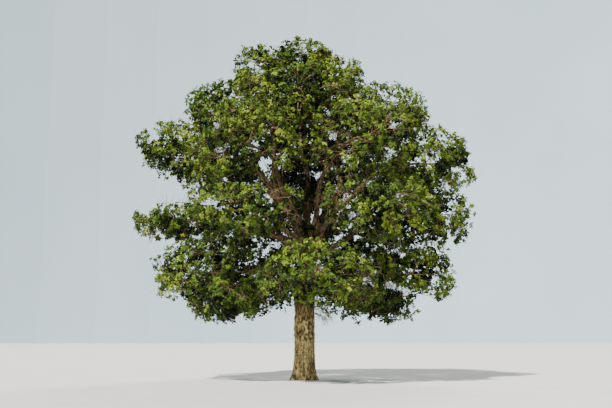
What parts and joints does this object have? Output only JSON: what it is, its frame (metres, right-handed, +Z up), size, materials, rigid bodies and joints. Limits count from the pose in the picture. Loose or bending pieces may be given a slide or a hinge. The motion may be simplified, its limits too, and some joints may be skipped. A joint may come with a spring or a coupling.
{
  "type": "oak tree",
  "caption": "Broad open-grown oak in full summer leaf: short stout trunk, spreading boughs and a rounded crown of leafy masses.",
  "frame": {"origin": "centre of the flat cut under the trunk, at ground level", "axes": "+Z straight up, -Y towards the side the tree is seen from, +X to the right seen from there"},
  "size_m": [16.9696, 15.552, 17.6646],
  "materials": {
    "bark": "rough fissured bark",
    "leaves": "soft matte foliage"
  },
  "bodies": {
    "root": {"bough_lower_1": "bark", "bough_lower_2": "bark", "bough_lower_3": "bark", "bough_lower_4": "bark", "bough_lower_5": "bark", "bough_middle_1": "bark", "bough_middle_2": "bark", "bough_middle_3": "bark", "bough_middle_4": "bark", "bough_middle_5": "bark", "bough_middle_6": "bark", "bough_shoulder_1": "bark", "bough_shoulder_2": "bark", "bough_shoulder_3": "bark", "bough_shoulder_4": "bark", "bough_shoulder_5": "bark", "bough_skirt_1": "bark", "bough_skirt_2": "bark", "bough_skirt_3": "bark", "bough_skirt_4": "bark", "bough_upper_1": "bark", "bough_upper_2": "bark", "bough_upper_3": "bark", "bough_upper_4": "bark", "bough_upper_5": "bark", "bough_upper_6": "bark", "bough_upper_7": "bark", "mass_crest_1": "leaves", "mass_crest_2": "leaves", "mass_crest_3": "leaves", "mass_lower_1": "leaves", "mass_lower_2": "leaves", "mass_lower_3": "leaves", "mass_lower_4": "leaves", "mass_lower_5": "leaves", "mass_middle_1": "leaves", "mass_middle_2": "leaves", "mass_middle_3": "leaves", "mass_middle_4": "leaves", "mass_middle_5": "leaves", "mass_middle_6": "leaves", "mass_shoulder_1": "leaves", "mass_shoulder_2": "leaves", "mass_shoulder_3": "leaves", "mass_shoulder_4": "leaves", "mass_shoulder_5": "leaves", "mass_skirt_1": "leaves", "mass_skirt_2": "leaves", "mass_skirt_3": "leaves", "mass_skirt_4": "leaves", "mass_tip_1": "leaves", "mass_upper_1": "leaves", "mass_upper_2": "leaves", "mass_upper_3": "leaves", "mass_upper_4": "leaves", "mass_upper_5": "leaves", "mass_upper_6": "leaves", "mass_upper_7": "leaves", "trunk": "bark"}
  },
  "joints": []
}
